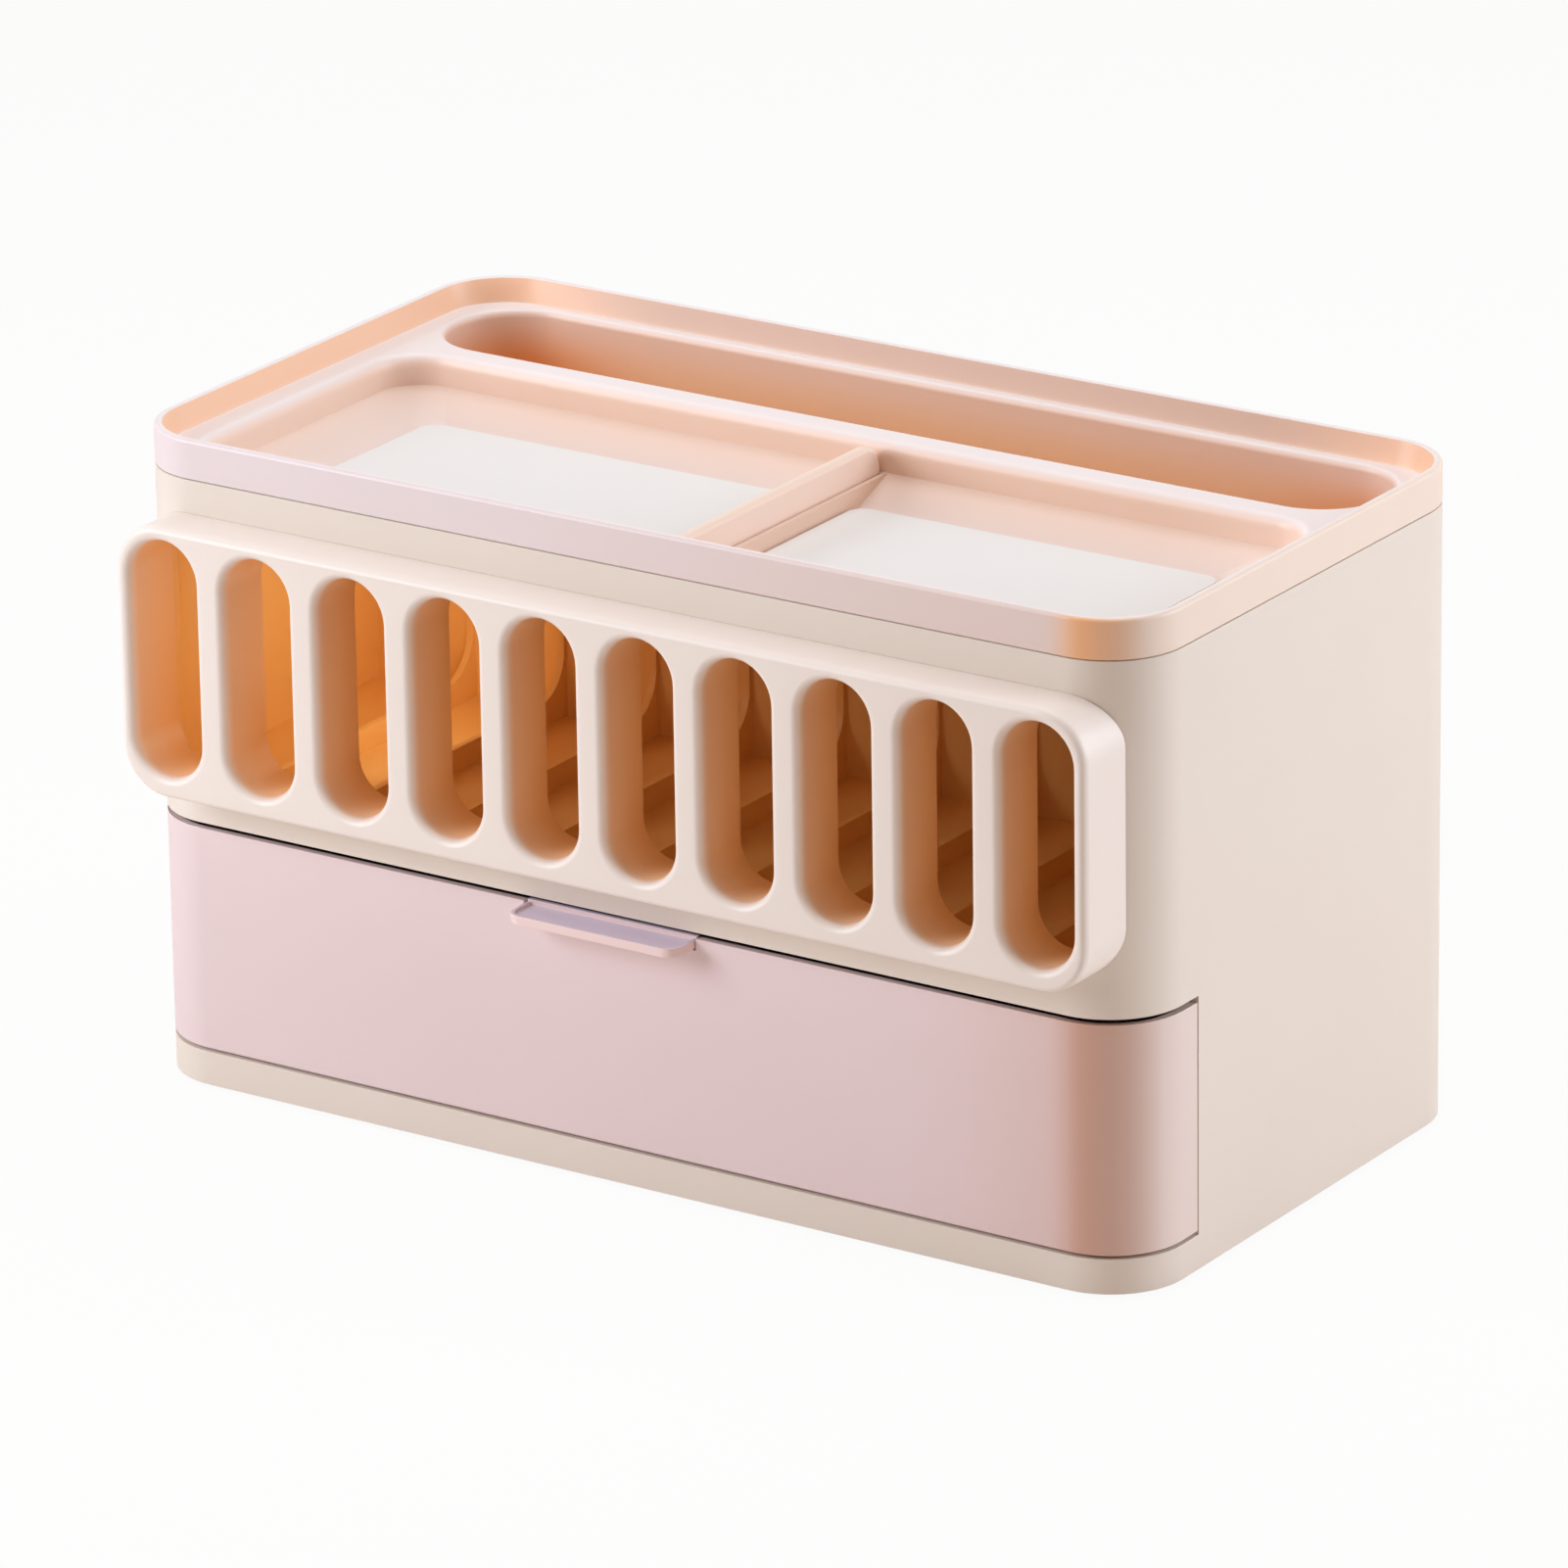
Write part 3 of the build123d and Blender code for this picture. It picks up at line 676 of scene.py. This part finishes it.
# %% Round lips on the rack
LIP_DEPTH = 2.0 * MM
EDGE_DEPTH = 2.0 * MM
TUNNEL_END = 3.6 * MM  # how far behind the box's front face the slots' walls end
TUNNEL_EXTRA = 1.0 * MM
TUNNEL_TURN = 3.0 * MM
RACK_AXES = (0, 2, 1)

rack = merged_copy("pen_rack")
outer_wall = middle_lane * LANE_PITCH + SLOT_WIDTH / 2
tunnel_ends = [v for v in rack.verts if abs(v.co.y - tray_low.y - TUNNEL_END) < NEAR
               and outer_wall - TUNNEL_TURN < abs(v.co.x) < outer_wall + NEAR]
bmesh.ops.translate(rack, vec=(0.0, TUNNEL_EXTRA, 0.0), verts=tunnel_ends)
print("tunnel ends moved", len(tunnel_ends))

face_y = rack_low.y
plain = [f for f in rack.faces if max(v.co.y for v in f.verts) < face_y + SLOT_LIP + NEAR]
bmesh.ops.delete(rack, geom=plain, context="FACES")
rims = [e for e in rack.edges if e.is_boundary]
outer_rim = [e for e in rims if max(v.co.y for v in e.verts) < face_y + RACK_EDGE + NEAR]
rack_middle = (0.0, (rack_low.z + rack_high.z) / 2)
rack_core = (rack_high.x - RACK_CORNER, (rack_high.z - rack_low.z) / 2 - RACK_CORNER)
face_edges = roll_over(rack, outer_rim, RACK_AXES, rack_middle, rack_core, RACK_CORNER,
                       -RACK_EDGE, face_y, EDGE_DEPTH)
for number in range(LANE_COUNT):
    middle_x = (number - middle_lane) * LANE_PITCH
    slot_rim = [e for e in rims if e not in outer_rim and e.is_valid
                and abs(e.verts[0].co.x - middle_x) < LANE_PITCH / 2]
    face_edges += roll_over(rack, slot_rim, RACK_AXES, (middle_x, slot_middle),
                            (0.0, slot_straight), SLOT_WIDTH / 2, SLOT_LIP, face_y, LIP_DEPTH)
fill_flat(rack, face_edges, (0.0, -1.0, 0.0))
print("open edges left on the rack", sum(e.is_boundary for e in rack.edges))
finish_piece(rack, "pen_rack_moulding", "housing", "rack_plastic", rack_abs, "pen_rack")

# %% [markdown]
# ## The tray
# The rim is rounded like the rest. The deck's two openings get lips like the slots have: a small
# one round the tub, and a wide soft one round the dish, where cards are swept out with a finger.

# %% Tub and dish lips on the tray
TUB_CORE = (101.9 * MM, 0.6 * MM)
TUB_RADIUS = 14.6 * MM
TUB_MIDDLE = (0.0, 50.1 * MM)
TUB_DEPTH = 1.8 * MM
DISH_CORE = (104.4 * MM, 29.8 * MM)
DISH_RADIUS = 10.0 * MM
DISH_MIDDLE = (0.0, -12.7 * MM)
DISH_DEPTH = 3.0 * MM
HIDDEN_EDGE = 0.4 * MM
LOOKS_UP = 0.3  # the chamfers' faces and the deck look up by more than this
DECK_AXES = (0, 1, 2)

tray = merged_copy("top_tray")
lip_foot = deck_height - DISH_LIP
round_edges(tray, TOUCHED_EDGE, 3, lambda e: min(v.co.z for v in e.verts) > deck_height + MM)
deepen_seam(tray, 1)
round_edges(tray, HIDDEN_EDGE,
            chosen=lambda e: max(v.co.z for v in e.verts) < lip_foot - MM and not at_seam(e))

plain = [f for f in tray.faces if f.normal.z > LOOKS_UP
         and all(lip_foot - NEAR < v.co.z < deck_height + NEAR for v in f.verts)]
bmesh.ops.delete(tray, geom=plain, context="FACES")
rims = [e for e in tray.edges if e.is_boundary]
deck_edges = [e for e in rims if e.verts[0].co.z > deck_height - NEAR]
tub_rim = [e for e in rims if abs(e.verts[0].co.z - (deck_height - TUB_LIP)) < NEAR]
dish_rim = [e for e in rims if abs(e.verts[0].co.z - lip_foot) < NEAR]
deck_edges += roll_over(tray, tub_rim, DECK_AXES, TUB_MIDDLE, TUB_CORE, TUB_RADIUS, TUB_LIP,
                        deck_height, -TUB_DEPTH)
deck_edges += roll_over(tray, dish_rim, DECK_AXES, DISH_MIDDLE, DISH_CORE, DISH_RADIUS, DISH_LIP,
                        deck_height, -DISH_DEPTH)
fill_flat(tray, deck_edges, (0.0, 0.0, 1.0))
print("open edges left on the tray", sum(e.is_boundary for e in tray.edges))
finish_piece(tray, "top_tray_moulding", "tray", "pink_plastic", tray_abs, "top_tray")

# %% [markdown]
# ## Screws under the panel
# The screws are cold headed from wire, and the punch leaves a cross recess for the driver. The
# round underside of each head is cut by planes into a grid, and the fields that make the cross are
# pushed in. A boolean would do it too, but it leaves a less tidy mesh.

# %% Cross recesses
ARM = 1.5 * MM
ARM_HALF = 0.35 * MM
RECESS = 0.6 * MM
SCREW_EDGE = 0.12 * MM


def underside(shape, low, head=None):
    """The faces of the heads' undersides, all of them or those round the middle of one head."""
    return [f for f in shape.faces if all(v.co.z < low + NEAR for v in f.verts)
            and (head is None or (f.calc_center_median() - head).length < 2 * ARM)]


def cut_cross(shape, low, head):
    """Cuts the underside of one head into a grid and pushes the fields of the cross in."""
    for axis in (Vector((1.0, 0.0, 0.0)), Vector((0.0, 1.0, 0.0))):
        for reach in (-ARM, -ARM_HALF, ARM_HALF, ARM):
            parts = [part for f in underside(shape, low, head) for part in (*f.verts, *f.edges, f)]
            bmesh.ops.bisect_plane(shape, geom=list(dict.fromkeys(parts)),
                                   plane_co=head + axis * reach, plane_no=axis)
    cross = []
    for face in underside(shape, low, head):
        short, long = sorted(abs(c) for c in (face.calc_center_median() - head).xy)
        if short < ARM_HALF and long < ARM:
            cross.append(face)
    pushed = bmesh.ops.extrude_face_region(shape, geom=cross)["geom"]
    bmesh.ops.translate(shape, vec=(0.0, 0.0, RECESS),
                        verts=[v for v in pushed if isinstance(v, bmesh.types.BMVert)])
    bmesh.ops.delete(shape, geom=[f for f in cross if f.is_valid], context="FACES_ONLY")


screws = merged_copy("panel_screws")
head_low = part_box("panel_screws")[0].z
heads = [f.calc_center_median() for f in underside(screws, head_low)]
for head in heads:
    cut_cross(screws, head_low, head)
bmesh.ops.recalc_face_normals(screws, faces=screws.faces)
round_edges(screws, SCREW_EDGE)
print("screws", len(heads), "open edges", sum(e.is_boundary for e in screws.edges))
finish_piece(screws, "panel_screws_headed", "housing", "screw_steel", zinc, "panel_screws")

# %% [markdown]
# ## Parts that keep their solid
# The lining of the pen space, the drawer's tub, the shelf, the bottom panel and the feet are right
# as they are: they are seen from afar or in shade, where a small radius would not show. Their own
# objects stay and only take their finish.

# %% Finish the solids that stay
kept = {
    "mid_shelf": cream_abs, "bottom_panel": cream_abs, "lane_floor": caramel_abs,
    "lane_ribs": caramel_abs, "lane_back": caramel_abs, "lane_side_left": caramel_abs,
    "lane_side_right": caramel_abs, "drawer_tub": blush_abs, "foot_front_left": rubber,
    "foot_front_right": rubber, "foot_rear_left": rubber, "foot_rear_right": rubber,
}
for node_name, material in kept.items():
    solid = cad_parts[node_name]
    solid.data.materials.clear()
    solid.data.materials.append(material)
print("kept solids", len(kept))

# %% [markdown]
# ## Floor and light
# A plain pale sweep under three large soft lamps. The key lamp stands front left and the second at
# the right, so that the rounded front corner falls between them and turns darker, which is how
# such a corner shows its roundness. A small weak lamp inside the pen space stands for the light
# that comes through the thin tray above it. To the camera the floor and the world are white.

# %% Pale floor
FLOOR_HALF = 5.0
FIBRE_SIZE = 2.0 * MM
FLOOR_WHITE = 0.94  # how much of the floor the camera sees as plain white


def pale_sweep():
    """White matt paper. The camera sees it almost pure white, with the shadow still on it."""
    material, tree, place = new_material("white paper matt")
    fibre = add(tree, "TexNoise", {"Scale": 1 / FIBRE_SIZE}, {"Vector": place})
    tone = add(tree, "Mix", RGBA | {6: linear("F0E9E2"), 7: linear("F4EEE8")}, {0: fibre})
    paper = add(tree, "BsdfDiffuse", {}, {"Color": tone.outputs[2]})
    white = add(tree, "Emission", {"Color": WHITE, "Strength": 1.0}, {})
    path = add(tree, "LightPath", {}, {})
    seen = add(tree, "Math", {"operation": "MULTIPLY", 1: FLOOR_WHITE},
               {0: path.outputs["Is Camera Ray"]})
    mixed = add(tree, "MixShader", {}, {0: seen, 1: paper, 2: white})
    add(tree, "OutputMaterial", {}, {"Surface": mixed})
    return material


sweep = bmesh.new()
bmesh.ops.create_grid(sweep, x_segments=4, y_segments=4, size=FLOOR_HALF)
sweep_mesh = bpy.data.meshes.new("floor")
sweep.to_mesh(sweep_mesh)
sweep.free()
floor = bpy.data.objects.new("floor", sweep_mesh)
bpy.context.scene.collection.objects.link(floor)
sweep_mesh.materials.append(pale_sweep())
print("floor", len(sweep_mesh.polygons), "faces")

# %% World
ROOM_STRENGTH = 0.28

world = bpy.data.worlds.new("soft room")
bpy.context.scene.world = world
world.use_nodes = True
tree = world.node_tree
tree.nodes.clear()
room = add(tree, "Background", {"Color": linear("F8D2B6"), "Strength": ROOM_STRENGTH}, {})
white = add(tree, "Background", {"Color": WHITE, "Strength": 1.0}, {})
path = add(tree, "LightPath", {}, {})
seen = add(tree, "Math", {"operation": "MAXIMUM"},
           {0: path.outputs["Is Camera Ray"], 1: path.outputs["Is Glossy Ray"]})
seen = add(tree, "Math", {"operation": "MAXIMUM"},
           {0: seen, 1: path.outputs["Is Transmission Ray"]})
both = add(tree, "MixShader", {}, {0: seen, 1: room, 2: white})
add(tree, "OutputWorld", {}, {"Surface": both})
print("world strength", ROOM_STRENGTH)


# %% Lamps
def softbox(name, place, aim, size, watts, colour):
    """A soft square lamp that looks at a point."""
    lamp = bpy.data.lights.new(name, "AREA")
    lamp.shape = "SQUARE"
    lamp.size = size
    lamp.energy = watts
    lamp.color = linear(colour)[:3]
    holder = bpy.data.objects.new(name, lamp)
    bpy.context.scene.collection.objects.link(holder)
    look = Vector(aim) - Vector(place)
    turn = look.to_track_quat("-Z", "Y").to_matrix().to_4x4()
    holder.matrix_world = Matrix.Translation(Vector(place)) @ turn
    return holder


softbox("key lamp", (-0.65, -0.66, 0.45), (-0.05, -0.05, 0.05), 0.5, 6.7, "EBF4FF")
softbox("side lamp", (0.95, 0.52, 0.34), (0.1, 0.0, 0.06), 0.6, 7.7, "E2EDFA")
softbox("top lamp", (0.0, 0.1, 1.1), (0.0, 0.0, 0.1), 0.9, 5.7, "F2F8FF")
glow = softbox("pen space lamp", (-0.072, -0.014, 0.1), (-0.12, -0.012, 0.098), 0.042, 0.0108,
               "FFEFD0")
glow.visible_camera = False
print("four lamps")

# %% [markdown]
# ## Camera
# The photograph was taken from the front right, from above, with a long lens. The angles and the
# distance were fitted to the box's long edges. They turn and move the camera round the middle of
# the box, so each number says one thing about the view.

# %% Camera
YAW = math.radians(33.77)
PITCH = math.radians(20.038)
ROLL = math.radians(-0.854)
DISTANCE = 2.2354
ASIDE = -2.879 * MM
ABOVE = -4.009 * MM
LENS = 243.68
SENSOR = 36.0
BODY_MIDDLE = Vector((0.0, 5.5 * MM, 73.35 * MM))  # the box without its rack

back = Vector((math.sin(YAW) * math.cos(PITCH), -math.cos(YAW) * math.cos(PITCH),
               math.sin(PITCH)))
level_side = Vector((math.cos(YAW), math.sin(YAW), 0.0))
level_up = back.cross(level_side)
side = math.cos(ROLL) * level_side + math.sin(ROLL) * level_up
up = -math.sin(ROLL) * level_side + math.cos(ROLL) * level_up
spot = BODY_MIDDLE + ASIDE * side + ABOVE * up + DISTANCE * back

lens = bpy.data.cameras.new("camera")
lens.lens = LENS
lens.sensor_width = SENSOR
camera = bpy.data.objects.new("camera", lens)
bpy.context.scene.collection.objects.link(camera)
camera.matrix_world = Matrix((
    (side.x, up.x, back.x, spot.x),
    (side.y, up.y, back.y, spot.y),
    (side.z, up.z, back.z, spot.z),
    (0.0, 0.0, 0.0, 1.0)))
bpy.context.scene.camera = camera
bpy.context.scene.view_settings.view_transform = "Standard"
print("camera at", [round(v, 3) for v in spot])
